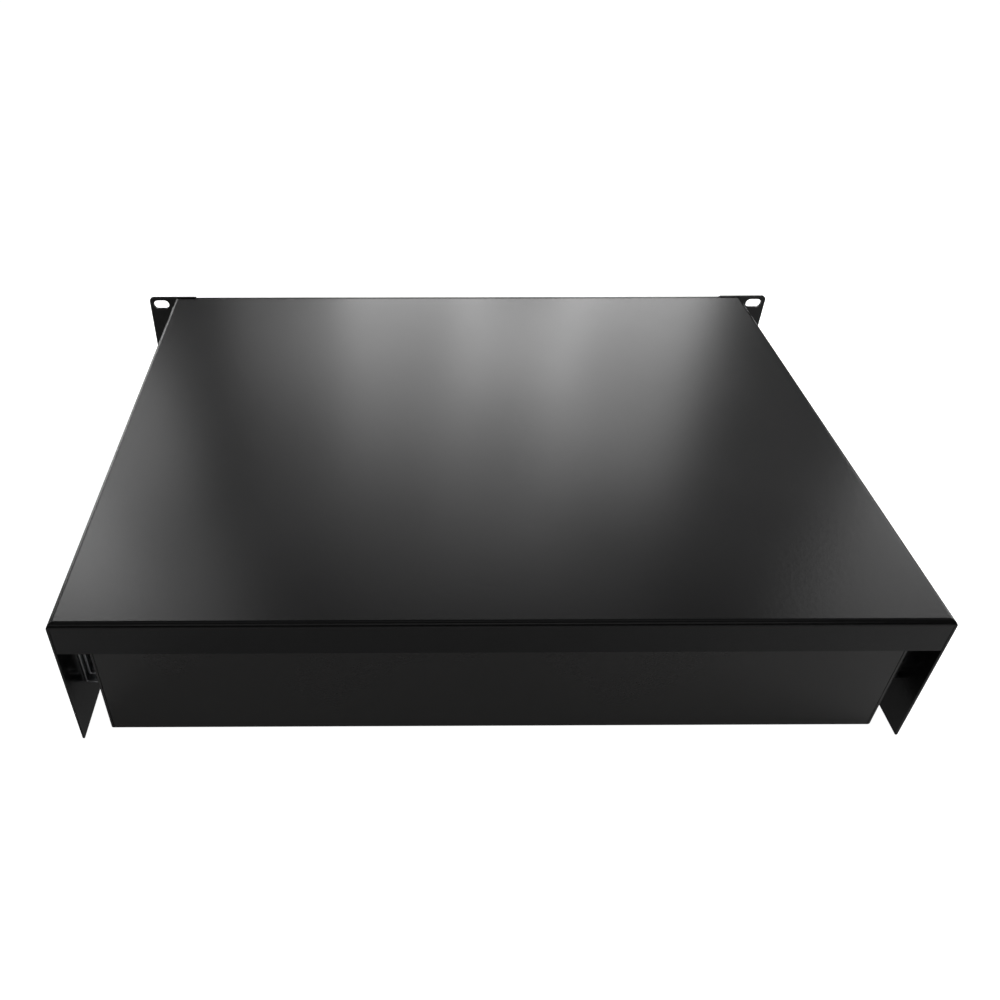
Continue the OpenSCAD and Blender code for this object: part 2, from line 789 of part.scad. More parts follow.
// Spool that spare fibre is wound on
module slack_spool(side) {
    arms = 4;
    wall = 2;
    color("#2b2c30") on_side(side) translate([spool_x, spool_y, floor_top]) difference() {
        union() {
            cylinder(r = spool_r, h = spool_h);
            for (k = [0 : arms - 1]) rotate([0, 0, k * 360 / arms]) {
                translate([spool_r - wall / 2, -5, 0]) cube([spool_arm_r - spool_r + wall / 2, 10, wall]);
                translate([spool_r - wall / 2, -5, spool_h - wall])
                    cube([spool_arm_r - spool_r + wall / 2, 10, wall]);
                translate([spool_arm_r - wall, -5, spool_h - 7]) cube([wall, 10, 7]);
            }
        }
        translate([0, 0, wall]) cylinder(r = spool_r - wall, h = spool_h);
        translate([0, 0, -eps]) cylinder(r = fix_r + bore_gap, h = wall + 2 * eps);
        // slots that let fibre cross the hub
        for (a = [45, 135]) {
            rotate([0, 0, a]) translate([-spool_r - eps, -4, wall]) cube([2 * (spool_r + eps), 8, spool_h]);
        }
    }
}

// Screws in the floor, for the spools and the cable clamps
module floor_screws() {
    color(zinc) for (side = sides) on_side(side) {
        translate([spool_x, spool_y, floor_top + 2]) pan_screw(fix_r, 2 + sheet_t + 1);
        for (y = sides) {
            translate([clamp_x, clamp_y + y * clamp_screw_y, floor_top + 2])
                pan_screw(fix_r, 2 + sheet_t + 1);
        }
    }
}

// Open clips that guide the fibres behind the adapters
module fibre_clips() {
    wall = 1.5;
    color("#e8ecee") for (x = clip_x) translate([x, clip_y, floor_top]) difference() {
        translate([-8, -6, 0]) cube([16, 12, 14]);
        translate([-8 + wall, -6 - eps, wall]) cube([16 - 2 * wall, 12 + 2 * eps, 14 - 2 * wall]);
        translate([-2, -6 - eps, wall + eps]) cube([4, 12 + 2 * eps, 14]);
    }
}

// Rubber edging in the cable entries
module cable_grommets() {
    lip = 2;
    face = 1.5;
    tall = entry_z[1] - entry_z[0];
    color("#0c0c0d") for (side = sides) on_side(side) difference() {
        union() {
            entry_hole(entry_w - 0.2, tall - 0.2, tray_wall_in - face, tray_w / 2 + face);
            entry_hole(entry_w + 2 * lip, tall + 2 * lip, tray_wall_in - face, tray_wall_in);
            entry_hole(entry_w + 2 * lip, tall + 2 * lip, tray_w / 2, tray_w / 2 + face);
        }
        entry_hole(entry_w - 2 * lip, tall - 2 * lip, tray_wall_in - 2 * face, tray_w / 2 + 2 * face);
    }
}

// Saddles that hold the incoming cables down
module cable_clamps() {
    long = 12;
    strap = 2;
    color(zinc) for (side = sides) on_side(side) translate([clamp_x, clamp_y, floor_top]) difference() {
        union() {
            translate([0, 0, clamp_r]) rod_x(clamp_r + strap, -long / 2, long / 2);
            translate([-long / 2, -clamp_screw_y - 5, 0]) cube([long, 2 * clamp_screw_y + 10, strap]);
            translate([-long / 2, -clamp_r - strap, 0]) cube([long, 2 * (clamp_r + strap), clamp_r]);
        }
        translate([0, 0, clamp_r]) rod_x(clamp_r, -long, long);
        translate([-long, -clamp_r, -long]) cube([2 * long, 2 * clamp_r, long + clamp_r]);
        translate([-long, -3 * long, -long]) cube([2 * long, 6 * long, long]);
        for (y = sides) {
            translate([0, y * clamp_screw_y, -eps]) cylinder(r = fix_r + bore_gap, h = strap + 2 * eps);
        }
    }
}

// Earthing stud with its nut and washer
module ground_stud() {
    color("#c9a14a") translate([ground_x, ground_y, tray_z]) {
        translate([0, 0, -1]) cylinder(r = 5, h = 1);
        cylinder(r = 3, h = 18);
        translate([0, 0, sheet_t]) cylinder(r = 6.5, h = 1.2);
        translate([0, 0, sheet_t + 1.2]) cylinder(r = 5.6, h = 5, $fn = 6);
    }
}

// Latches: a split grommet in the panel, and a plunger that spreads it when pushed in

module latch_grommets() {
    face_t = 1.5;
    leg_end = front_y + 7;
    color("#0e0e10") for (side = sides) on_side(side) translate([latch_x, 0, latch_z]) difference() {
        union() {
            rod_y(7, panel_front_y - face_t, panel_front_y);
            rod_y(latch_barrel_r, panel_front_y - face_t, panel_back_y);
            rod_y(latch_leg_r, panel_front_y, leg_end);
        }
        rod_y(latch_rod_r + bore_gap, panel_front_y - 2 * face_t, leg_end + eps);
        for (a = [0, 90]) {
            rotate([0, a, 0]) translate([-latch_leg_r - eps, panel_back_y + 0.5, -0.4])
                cube([2 * (latch_leg_r + eps), 20, 0.8]);
        }
    }
}

module latch_plunger(side) {
    knob_back = panel_front_y - 1.5 - closing_gap;
    knob_t = 7;
    knob_r = 6;
    groove_r = 4.8;
    color("#141416") on_side(side) translate([latch_x, 0, latch_z]) {
        difference() {
            rod_y(knob_r, knob_back - knob_t, knob_back);
            // finger groove round the knob
            difference() {
                rod_y(knob_r + eps, knob_back - 3, knob_back - 1);
                rod_y(groove_r, knob_back - 4, knob_back);
            }
        }
        rod_y(latch_rod_r, knob_back - 1, front_y + 5.5);
    }
}

sleeve();
ear(left);  // ear_left
ear(right);  // ear_right
ear_rivets();
slide_outer(left);  // slide_outer_left
slide_outer(right);  // slide_outer_right
slide_rivets();
slide_middle(left);  // slide_middle_left
slide_middle(right);  // slide_middle_right
ball_cage(left, outer_row);  // ball_cage_outer_left
ball_cage(right, outer_row);  // ball_cage_outer_right
ball_cage(left, inner_row);  // ball_cage_inner_left
ball_cage(right, inner_row);  // ball_cage_inner_right
ball_row(left, outer_row);  // balls_outer_left
ball_row(right, outer_row);  // balls_outer_right
ball_row(left, inner_row);  // balls_inner_left
ball_row(right, inner_row);  // balls_inner_right
drawer_tray();
front_panel();
panel_screws();
slide_inner(left);  // slide_inner_left
slide_inner(right);  // slide_inner_right
slide_spacers();
slide_screws();
adapter_plate(0);  // adapter_plate_1
adapter_plate(1);  // adapter_plate_2
adapter_plate(2);  // adapter_plate_3
adapter_plate(3);  // adapter_plate_4
adapter_plate(4);  // adapter_plate_5
adapter_plate(5);  // adapter_plate_6
plate_rivets();
adapter_row(0);  // adapters_1
adapter_row(1);  // adapters_2
adapter_row(2);  // adapters_3
adapter_row(3);  // adapters_4
adapter_row(4);  // adapters_5
adapter_row(5);  // adapters_6
front_dust_caps();
rear_dust_caps();
splice_tray(0);  // splice_tray_1
splice_tray(1);  // splice_tray_2
splice_tray(2);  // splice_tray_3
splice_combs();
splice_lid();
tray_studs();
wing_nuts();
slack_spool(left);  // slack_spool_left
slack_spool(right);  // slack_spool_right
floor_screws();
fibre_clips();
cable_grommets();
cable_clamps();
ground_stud();
latch_grommets();
latch_plunger(left);  // latch_plunger_left
latch_plunger(right);  // latch_plunger_right
release_lever(left);  // release_lever_left
release_lever(right);  // release_lever_right
lever_pins();
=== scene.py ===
"""Looks of a rack-mount fibre termination box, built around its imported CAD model."""

import json
import math

import bmesh
import bpy
from mathutils import Matrix, Vector


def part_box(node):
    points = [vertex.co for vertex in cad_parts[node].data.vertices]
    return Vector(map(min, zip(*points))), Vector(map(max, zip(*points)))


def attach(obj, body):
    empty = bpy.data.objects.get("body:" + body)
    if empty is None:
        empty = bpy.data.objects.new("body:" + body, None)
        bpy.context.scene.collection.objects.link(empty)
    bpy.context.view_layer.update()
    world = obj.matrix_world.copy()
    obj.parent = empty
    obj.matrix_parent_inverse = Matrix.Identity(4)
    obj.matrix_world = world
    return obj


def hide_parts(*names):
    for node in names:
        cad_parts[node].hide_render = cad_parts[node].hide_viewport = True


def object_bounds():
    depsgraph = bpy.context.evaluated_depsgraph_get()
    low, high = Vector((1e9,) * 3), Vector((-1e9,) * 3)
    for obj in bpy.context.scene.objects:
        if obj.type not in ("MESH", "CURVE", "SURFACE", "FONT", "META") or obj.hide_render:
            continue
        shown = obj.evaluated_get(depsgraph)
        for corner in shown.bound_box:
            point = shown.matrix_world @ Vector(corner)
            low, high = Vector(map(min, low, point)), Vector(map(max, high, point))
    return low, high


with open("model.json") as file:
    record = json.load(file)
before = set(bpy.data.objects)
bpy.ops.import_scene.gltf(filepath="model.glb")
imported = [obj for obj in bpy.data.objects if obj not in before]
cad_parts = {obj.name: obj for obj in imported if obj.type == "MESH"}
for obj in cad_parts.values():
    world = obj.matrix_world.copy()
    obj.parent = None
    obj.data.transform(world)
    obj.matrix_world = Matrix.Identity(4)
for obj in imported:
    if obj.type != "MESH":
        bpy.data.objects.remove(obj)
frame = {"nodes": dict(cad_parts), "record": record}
cad_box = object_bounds()

# Shapes are drawn in millimetres and scaled in finish_piece. The frame, lights and camera are in
# metres.
MM = 0.001
SCENE = bpy.context.scene
REAR_Y = cad_box[1].y
TOP_Z = cad_box[1].z
SHARP = math.radians(35)  # edges bent more than this stay sharp under smooth shading


# ---------------------------------------------------------------- materials

class Shader:
    """A Principled material and short calls that add nodes to it."""

    def __init__(self, name, color, roughness, metallic=0.0, specular=0.5):
        self.material = bpy.data.materials.new(name)
        self.material.use_nodes = True
        self.tree = self.material.node_tree
        self.bsdf = self.tree.nodes["Principled BSDF"]
        self.set("Base Color", (*color, 1.0))
        self.set("Roughness", roughness)
        self.set("Metallic", metallic)
        self.set("Specular IOR Level", specular)
        self.position = self.node("ShaderNodeTexCoord").outputs["Object"]

    def set(self, socket, value):
        self.bsdf.inputs[socket].default_value = value

    def node(self, kind, **settings):
        made = self.tree.nodes.new(kind)
        for key, value in settings.items():
            setattr(made, key, value)
        return made

    def link(self, output, socket):
        self.tree.links.new(output, socket)

    def stretched(self, scale):
        """Object coordinates scaled along each axis, in metres."""
        mapping = self.node("ShaderNodeMapping")
        mapping.inputs["Scale"].default_value = scale
        self.link(self.position, mapping.inputs["Vector"])
        return mapping.outputs["Vector"]

    def noise(self, per_metre, detail=3.0, rough=0.5, scale=(1, 1, 1)):
        """Noise with that many features to a metre."""
        made = self.node("ShaderNodeTexNoise")
        made.inputs["Scale"].default_value = per_metre
        made.inputs["Detail"].default_value = detail
        made.inputs["Roughness"].default_value = rough
        self.link(self.stretched(scale), made.inputs["Vector"])
        return made.outputs["Fac"]

    def cells(self, per_metre):
        """Distance to the nearest of many scattered points."""
        made = self.node("ShaderNodeTexVoronoi", feature="SMOOTH_F1")
        made.inputs["Scale"].default_value = per_metre
        self.link(self.position, made.inputs["Vector"])
        return made.outputs["Distance"]

    def between(self, value, low, high, start=0.3, end=0.7):
        """value carried from start..end to low..high."""
        made = self.node("ShaderNodeMapRange")
        self.link(value, made.inputs["Value"])
        limits = (("From Min", start), ("From Max", end), ("To Min", low), ("To Max", high))
        for name, number in limits:
            made.inputs[name].default_value = number
        return made.outputs["Result"]

    def blend_colors(self, value, low, high, start=0.3, end=0.7):
        """A colour that goes from low to high as value goes from start to end."""
        ramp = self.node("ShaderNodeValToRGB")
        ramp.color_ramp.elements[0].position = start
        ramp.color_ramp.elements[0].color = (*low, 1.0)
        ramp.color_ramp.elements[1].position = end
        ramp.color_ramp.elements[1].color = (*high, 1.0)
        self.link(value, ramp.inputs["Fac"])
        self.link(ramp.outputs["Color"], self.bsdf.inputs["Base Color"])

    def roughen(self, value, low, high, start=0.3, end=0.7):
        self.link(self.between(value, low, high, start, end), self.bsdf.inputs["Roughness"])

    def bump(self, value, strength, depth, under=None):
        """Adds relief of that depth in metres. under is the normal of a bump that it lies on."""
        made = self.node("ShaderNodeBump")
        made.inputs["Strength"].default_value = strength
        made.inputs["Distance"].default_value = depth
        self.link(value, made.inputs["Height"])
        if under:
            self.link(under, made.inputs["Normal"])
        self.link(made.outputs["Normal"], self.bsdf.inputs["Normal"])
        return made.outputs["Normal"]


def powder_coat(name, dark, light, specular):
    """Satin black powder coat: fine orange peel with a finer grain in it."""
    m = Shader(name, dark, 0.24, specular=specular)
    m.blend_colors(m.noise(14, detail=4), dark, light)
    m.roughen(m.noise(9, detail=5, rough=0.6), 0.228, 0.252)
    peel = m.bump(m.noise(420, detail=2), 0.22, 0.00016)
    m.bump(m.cells(1500), 0.16, 0.00008, under=peel)
    return m.material


def zinc_plate():
    """Bright zinc on rolled steel: fine grain along the slide, with cloudy patches."""
    m = Shader("zinc_plate", (0.55, 0.56, 0.58), 0.32, metallic=1.0)
    m.blend_colors(m.noise(60, detail=4), (0.47, 0.48, 0.50), (0.62, 0.63, 0.64))
    m.roughen(m.noise(90, detail=5), 0.24, 0.42)
    m.bump(m.noise(1800, detail=2, scale=(1, 0.04, 1)), 0.15, 0.00005)
    return m.material


def simple_plastic(name, color, darker, roughness, grain, depth):
    """Moulded plastic with a spark-eroded grain.

    grain is its features to a metre, and depth its relief in metres.
    """
    m = Shader(name, color, roughness, specular=0.45)
    m.blend_colors(m.noise(40, detail=3), darker, color)
    m.roughen(m.noise(150, detail=3), roughness - 0.05, roughness + 0.06)
    m.bump(m.noise(grain, detail=2), 0.25, depth)
    return m.material


def ball_steel():
    m = Shader("ball_steel", (0.72, 0.73, 0.75), 0.12, metallic=1.0)
    m.roughen(m.noise(900), 0.08, 0.2)
    return m.material


def brass():
    m = Shader("brass", (0.66, 0.46, 0.17), 0.28, metallic=1.0)
    m.blend_colors(m.noise(200), (0.58, 0.39, 0.13), (0.70, 0.50, 0.20))
    m.roughen(m.noise(500), 0.2, 0.36)
    return m.material


def clear_plastic():
    m = Shader("clear_plastic", (0.93, 0.96, 0.97), 0.08, specular=0.5)
    m.set("Transmission Weight", 1.0)
    m.set("IOR", 1.46)
    m.roughen(m.noise(60), 0.04, 0.12)
    return m.material


MATERIALS = {
    "black_steel": powder_coat(
        "powder_coat", (0.0086, 0.0086, 0.0090), (0.0118, 0.0117, 0.0119), 0.3),
    "zinc_steel": zinc_plate(),
    "ball_steel": ball_steel(),
    "black_plastic": simple_plastic(
        "black_plastic", (0.018, 0.018, 0.019), (0.013, 0.013, 0.014), 0.45, 2500, 0.00004),
    "blue_plastic": simple_plastic(
        "blue_plastic", (0.022, 0.125, 0.46), (0.018, 0.105, 0.40), 0.32, 3000, 0.00002),
    "cap_plastic": simple_plastic(
        "cap_plastic", (0.74, 0.76, 0.77), (0.66, 0.68, 0.69), 0.38, 2500, 0.00003),
    "tray_plastic": simple_plastic(
        "tray_plastic", (0.66, 0.66, 0.64), (0.60, 0.60, 0.58), 0.42, 2200, 0.00003),
    "clear_plastic": clear_plastic(),
    "rubber": simple_plastic(
        "rubber", (0.012, 0.012, 0.012), (0.009, 0.009, 0.009), 0.7, 1800, 0.00006),
    "brass": brass(),
}

SLOT_OF = {row["node"]: row["material_slot"] for row in frame["record"]["subparts"]}


def paint_frame():
    """Gives every CAD node the material of its slot.

    The drawer's coat is a shade lighter and glossier than the sleeve's. The lighter colour is
    painted light: it stands in for the light the floor reflects onto the drawer's rear wall.
    """
    # painted light: this copy of the sleeve's black coat is made lighter to show the floor's
    # reflected light on the drawer's rear wall
    drawer_coat_painted_light = powder_coat(
        "drawer_powder_coat_painted_light", (0.0182, 0.0172, 0.0167), (0.0228, 0.0214, 0.0205), 0.48)
    for name, node in frame["nodes"].items():
        coat = drawer_coat_painted_light if name == "drawer_tray" else MATERIALS[SLOT_OF[name]]
        node.data.materials.clear()
        node.data.materials.append(coat)


# ------------------------------------------------------------- mesh building

def join(target, part, matrix=Matrix()):
    """Adds a copy of part to target."""
    mesh = bpy.data.meshes.new("join")
    part.to_mesh(mesh)
    mesh.transform(matrix)
    if matrix.determinant() < 0:
        mesh.flip_normals()
    target.from_mesh(mesh)
    bpy.data.meshes.remove(mesh)


def moved(part, matrix):
    """part, moved in place."""
    bmesh.ops.transform(part, matrix=matrix, verts=part.verts)
    return part


def shift(x=0.0, y=0.0, z=0.0):
    return Matrix.Translation((x, y, z))


def turn(degrees, axis):
    return Matrix.Rotation(math.radians(degrees), 4, axis)


MIRROR_X = Matrix.Scale(-1, 4, (1, 0, 0))
MIRROR_Y = Matrix.Scale(-1, 4, (0, 1, 0))
MIRROR_Z = Matrix.Scale(-1, 4, (0, 0, 1))
Z_TO_FRONT = turn(90, "X")
Z_TO_REAR = turn(-90, "X")
Z_TO_RIGHT = turn(90, "Y")


def block(lo, hi, bevel=0.3, segments=2):
    """Box between two corners, with its edges rounded."""
    bm = bmesh.new()
    bmesh.ops.create_cube(bm, size=1.0)
    for v in bm.verts:
        v.co = Vector([lo[i] + (v.co[i] + 0.5) * (hi[i] - lo[i]) for i in range(3)])
    bmesh.ops.bevel(bm, geom=bm.edges[:], offset=bevel, segments=segments, profile=0.5,
                    affect="EDGES")
    return bm


def rounded(points, radius, steps=4):
    """Outline with its corners rounded. radius is one number, or one for each corner."""
    out = []
    for i, corner in enumerate(points):
        r = radius[i] if isinstance(radius, (list, tuple)) else radius
        here = Vector(corner)
        if r <= 0:
            out.append(tuple(here))
            continue
        before = (Vector(points[i - 1]) - here).normalized()
        after = (Vector(points[(i + 1) % len(points)]) - here).normalized()
        half = before.angle(after) / 2
        middle = here + (before + after).normalized() * (r / math.sin(half))
        reach = r / math.tan(half)
        start, end = here + before * reach - middle, here + after * reach - middle
        sweep = -start.angle_signed(end)
        for k in range(steps + 1):
            out.append(tuple(middle + Matrix.Rotation(sweep * k / steps, 2) @ start))
    return out


def rect_outline(w, h, r, steps=4):
    return rounded([(w / 2, -h / 2), (w / 2, h / 2), (-w / 2, h / 2), (-w / 2, -h / 2)], r, steps)


def obround_outline(long, wide, steps=10):
    """Oblong outline, long up the second axis."""
    r, reach = wide / 2, (long - wide) / 2
    angles = [math.pi * k / steps for k in range(steps + 1)]
    top = [(r * math.cos(a), reach + r * math.sin(a)) for a in angles]
    return top + [(-x, -y) for x, y in top]


def arc(x, y, r, start, end, steps):
    """Points of an arc, its angles in degrees."""
    angles = [math.radians(start + (end - start) * k / steps) for k in range(steps + 1)]
    return [(x + r * math.cos(a), y + r * math.sin(a)) for a in angles]


def skin(loops, caps=True, ring=False):
    """Surface over loops of equally many points.

    caps closes its ends, and ring joins the last loop to the first instead.
    """
    bm = bmesh.new()
    loops = [[bm.verts.new(p) for p in loop] for loop in loops]
    pairs = list(zip(loops, loops[1:])) + ([(loops[-1], loops[0])] if ring else [])
    for a, b in pairs:
        for i in range(len(a)):
            j = (i + 1) % len(a)
            bm.faces.new((a[i], a[j], b[j], b[i]))
    if caps and not ring:
        bm.faces.new(loops[0][::-1])
        bm.faces.new(loops[-1])
    bmesh.ops.recalc_face_normals(bm, faces=bm.faces[:])
    return bm


def prism(outline, z0, z1, bevel=0.2):
    """Outline in X and Y carried from z0 to z1, with both rims rounded a little."""
    bm = bmesh.new()
    face = bm.faces.new([bm.verts.new((x, y, z0)) for x, y in outline])
    made = bmesh.ops.extrude_face_region(bm, geom=[face])
    top = [v for v in made["geom"] if isinstance(v, bmesh.types.BMVert)]
    bmesh.ops.translate(bm, vec=(0, 0, z1 - z0), verts=top)
    bmesh.ops.recalc_face_normals(bm, faces=bm.faces[:])
    if bevel:
        rims = [e for e in bm.edges if abs(e.verts[0].co.z - e.verts[1].co.z) < 1e-6]
        bmesh.ops.bevel(bm, geom=rims, offset=bevel, segments=2, profile=0.5, affect="EDGES",
                        clamp_overlap=True)
    return bm


def drill(x, y, r, z0, z1, sides=24):
    """Round cutter along Z."""
    return prism(arc(x, y, r, 0, 360 - 360 / sides, sides - 1), z0, z1, 0)


def lathe(profile, steps=40, ring=False, shape=None):
    """Turned shape. profile is (radius, z) along the axis.

    shape(angle, radius, z), if given, returns the radius to use there.
    """
    loops = []
    for r, z in profile:
        loop = []
        for i in range(steps):
            a = 2 * math.pi * i / steps
            reach = shape(a, r, z) if shape else r
            loop.append((reach * math.cos(a), reach * math.sin(a), z))
        loops.append(loop)
    return skin(loops, ring=ring)


def thread(r, start, end, pitch, depth):
    """Profile of a threaded length, as rings."""
    out = []
    for k in range(int((end - start) / pitch)):
        z = start + k * pitch
        out += [(r, z), (r, z + pitch * 0.15),
                (r - depth, z + pitch * 0.5), (r - depth, z + pitch * 0.6)]
    return out + [(r, end - pitch * 0.3)]


def hex_nut(bore, across, height):
    """Hexagonal nut standing on z = 0, its corners turned away above and below."""
    def hexagon(angle, r, z):
        flat = (angle + math.pi / 6) % (math.pi / 3) - math.pi / 6
        return min(r, across / 2 / math.cos(flat)) if r > bore else r

    wide, tight = across / 2 / math.cos(math.pi / 6), across / 2 * 0.97
    profile = [(bore, 0.2), (bore + 0.2, 0), (tight, 0), (wide, height * 0.12),
               (wide, height * 0.88), (tight, height), (bore + 0.2, height), (bore, height - 0.2)]
    return lathe(profile, 72, True, hexagon)


def cut(bm, cutters):
    """bm, which must not overlap itself, less the cutters, by an exact boolean."""
    objects = []
    for part in [bm, *cutters]:
        mesh = bpy.data.meshes.new("cut")
        part.to_mesh(mesh)
        objects.append(bpy.data.objects.new("cut", mesh))
        SCENE.collection.objects.link(objects[-1])
    for cutter in objects[1:]:
        modifier = objects[0].modifiers.new("cut", "BOOLEAN")
        modifier.operation = "DIFFERENCE"
        modifier.solver = "EXACT"
        modifier.object = cutter
    graph = bpy.context.evaluated_depsgraph_get()
    result = bmesh.new()
    result.from_mesh(objects[0].evaluated_get(graph).to_mesh())
    for o in objects:
        mesh = o.data
        bpy.data.objects.remove(o)
        bpy.data.meshes.remove(mesh)
    return result


def finish_piece(name, bm, body, slot, nodes=()):
    """Turns a shape in millimetres into a smooth-shaded object.

    It rides on body, is painted as slot, and stands for those CAD nodes.
    """
    bm.normal_update()
    for face in bm.faces:
        face.smooth = True
    for edge in bm.edges:
        if len(edge.link_faces) == 2 and edge.calc_face_angle() > SHARP:
            edge.smooth = False
    mesh = bpy.data.meshes.new(name)
    bm.to_mesh(mesh)
    mesh.transform(Matrix.Scale(MM, 4))
    mesh.materials.append(MATERIALS[slot])
    piece = bpy.data.objects.new(name, mesh)
    SCENE.collection.objects.link(piece)
    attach(piece, body)
    if nodes:
        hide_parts(*nodes)


def node_mm(name):
    """A CAD node's lowest and highest corners and its middle, in millimetres."""
    low, high = (Vector(corner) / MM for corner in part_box(name))
    return low, high, (low + high) / 2


def both_sides(part):
    """part and its mirror image."""
    bm = bmesh.new()
    join(bm, part)
    join(bm, part, MIRROR_X)
    return bm


def left_and_right(part):
    """(side, shape) pairs for a shape drawn on the right, whose mirror image is the left one."""
    mirrored = bmesh.new()
    join(mirrored, part, MIRROR_X)
    return (("right", part), ("left", mirrored))


# --------------------------------------------------------- fibre adapters

PITCH = 12.7  # from one adapter to the next
ADAPTERS = 8  # in each plate
ADAPTER_BANKS = range(1, 7)  # the numbers in the names of the adapter nodes
PLATE_T = 1.6  # thickness of the adapter plates
FLANGE_T = 1.6  # thickness of an adapter's flange
PORT = (7.6, 9.6)  # width and height of an adapter's opening
BODY = (9.4, 13.2)  # width and height of an adapter's body


def rim(size, grow, r, y):
    """Rounded rectangle across Y, that much larger than size on each side."""
    return [(x, y, z) for x, z in rect_outline(size[0] + 2 * grow, size[1] + 2 * grow, r, 3)]


def adapter_template():
    """One adapter, with y = 0 at the back of its flange."""
    nose, tail, depth = -10.0, 17.0, 9.0
    body = skin([
        rim(PORT, 0, 0.4, nose + depth), rim(PORT, 0, 0.4, nose + 0.7), rim(PORT, 0.4, 0.8, nose),
        rim(BODY, -0.3, 0.8, nose), rim(BODY, 0, 1.0, nose + 0.4), rim(BODY, 0, 1.0, tail - 0.4),
        rim(BODY, -0.3, 0.8, tail), rim(PORT, 0.4, 0.8, tail), rim(PORT, 0, 0.4, tail - 0.7),
        rim(PORT, 0, 0.4, tail - depth)])
    flange = moved(prism(rect_outline(10.4, 22, 1.2), 0, FLANGE_T, 0.25), Z_TO_FRONT)
    holes = [moved(drill(0, z, 1.0, -5, 5, 16), Z_TO_FRONT) for z in (-9, 9)]
    join(body, cut(flange, holes))
    for x in (-3.6, 3.6):
        rib = block((x - 0.5, nose + 1.2, 6.5), (x + 0.5, -FLANGE_T, 6.95), 0.15)
        join(body, rib)
        join(body, rib, MIRROR_Z)
    key = block((4.5, nose + 3.0, -3.0), (4.9, -FLANGE_T, 3.0), 0.15)
    join(body, both_sides(key))
    return body


def adapter_clip_template():
    """Spring clip round an adapter's body, with a wing above and below that bears on the plate."""
    start, end, root = PLATE_T + 1.6, PLATE_T + 9.5, PLATE_T + 8.4
    clip = skin([rim(BODY, 0.04, 1.0, start), rim(BODY, 0.34, 1.3, start),
                 rim(BODY, 0.34, 1.3, end), rim(BODY, 0.04, 1.0, end)], ring=True)
    wing = block((-3.0, PLATE_T + 0.25, 0), (3.0, root, 0.3), 0.1)
    lean = shift(y=root, z=6.9) @ turn(-13, "X") @ shift(y=-root)
    join(clip, wing, lean)
    join(clip, wing, MIRROR_Z @ lean)
    return clip


def dust_cap_template():
    """Cap with y = 0 at the back of its head, which faces -Y, and its plug behind."""
    head, plug, face = 4.1, 6.0, (8.3, 11.5)
    rib_gap, rib_half = 1.9, 0.35
    cap = skin([
        rim(face, -1.95, 1.0, -head + 0.6), rim(face, -1.75, 1.2, -head + 0.1),
        rim(face, -1.55, 1.3, -head), rim(face, -0.35, 1.2, -head), rim(face, 0, 1.4, -head + 0.4),
        rim(face, 0, 1.4, -0.3), rim(face, -0.2, 1.2, 0), rim(PORT, -0.1, 0.6, 0.01),
        rim(PORT, -0.1, 0.6, plug - 0.6), rim(PORT, -0.6, 0.6, plug)])
    for k in range(5):
        z = (k - 2) * rib_gap
        rib = block((4.05, -head + 0.9, z - rib_half), (4.35, -0.5, z + rib_half), 0.12, 1)
        join(cap, both_sides(rib))
    for k in range(3):
        x = (k - 1) * rib_gap
        rib = block((x - rib_half, -head + 0.9, 5.65), (x + rib_half, -0.5, 5.95), 0.12, 1)
        join(cap, rib)
        join(cap, rib, MIRROR_Z)
    return cap


def add_adapters():
    """The rows of adapters with their clips, and the dust caps in front of and behind them."""
    flange_back = 10  # from the front of an adapter to the back of its flange
    adapter, clip, cap = adapter_template(), adapter_clip_template(), dust_cap_template()
    front_caps, rear_caps = bmesh.new(), bmesh.new()
    for bank in ADAPTER_BANKS:
        low, high, middle = node_mm(f"adapters_{bank}")
        row, clips = bmesh.new(), bmesh.new()
        for k in range(ADAPTERS):
            x = middle.x + (k - (ADAPTERS - 1) / 2) * PITCH
            join(row, adapter, shift(x, low.y + flange_back, middle.z))
            join(clips, clip, shift(x, low.y + flange_back, middle.z))
            join(front_caps, cap, shift(x, low.y, middle.z))
            join(rear_caps, cap, shift(x, high.y, middle.z) @ turn(180, "Z"))
        finish_piece(f"adapter_bank_{bank}", row, "drawer", "blue_plastic", [f"adapters_{bank}"])
        finish_piece(f"adapter_clips_{bank}", clips, "drawer", "zinc_steel")
    finish_piece("dust_caps_front", front_caps, "drawer", "cap_plastic", ["front_dust_caps"])
    finish_piece("dust_caps_rear", rear_caps, "drawer", "cap_plastic", ["rear_dust_caps"])


def add_snap_rivets():
    """Two-part plastic rivets that hold the adapter plates: a domed rim with a pushed-in pin."""
    low, high, _ = node_mm("plate_rivets")
    length = high.y - low.y
    from_middle = 54.4
    rivet = lathe([(0.01, 0.35), (0.9, 0.35), (1.1, 0.15), (1.3, 0.45), (1.5, 0.1), (2.2, 0.0),
                   (2.75, 0.3), (3.0, 0.9), (3.0, 1.2), (1.5, 1.2), (1.5, 4.8), (2.0, 5.2),
                   (2.0, 5.9), (1.4, length - 0.3), (0.8, length), (0.01, length)], 32)
    bm = bmesh.new()
    for bank in ADAPTER_BANKS:
        row_middle = node_mm(f"adapters_{bank}")[2]
        for x in (-from_middle, from_middle):
            join(bm, rivet, shift(row_middle.x + x, low.y, row_middle.z) @ Z_TO_REAR)
    finish_piece("snap_rivets", bm, "drawer", "black_plastic", ["plate_rivets"])


# ------------------------------------------------- latches, rivets, fixings

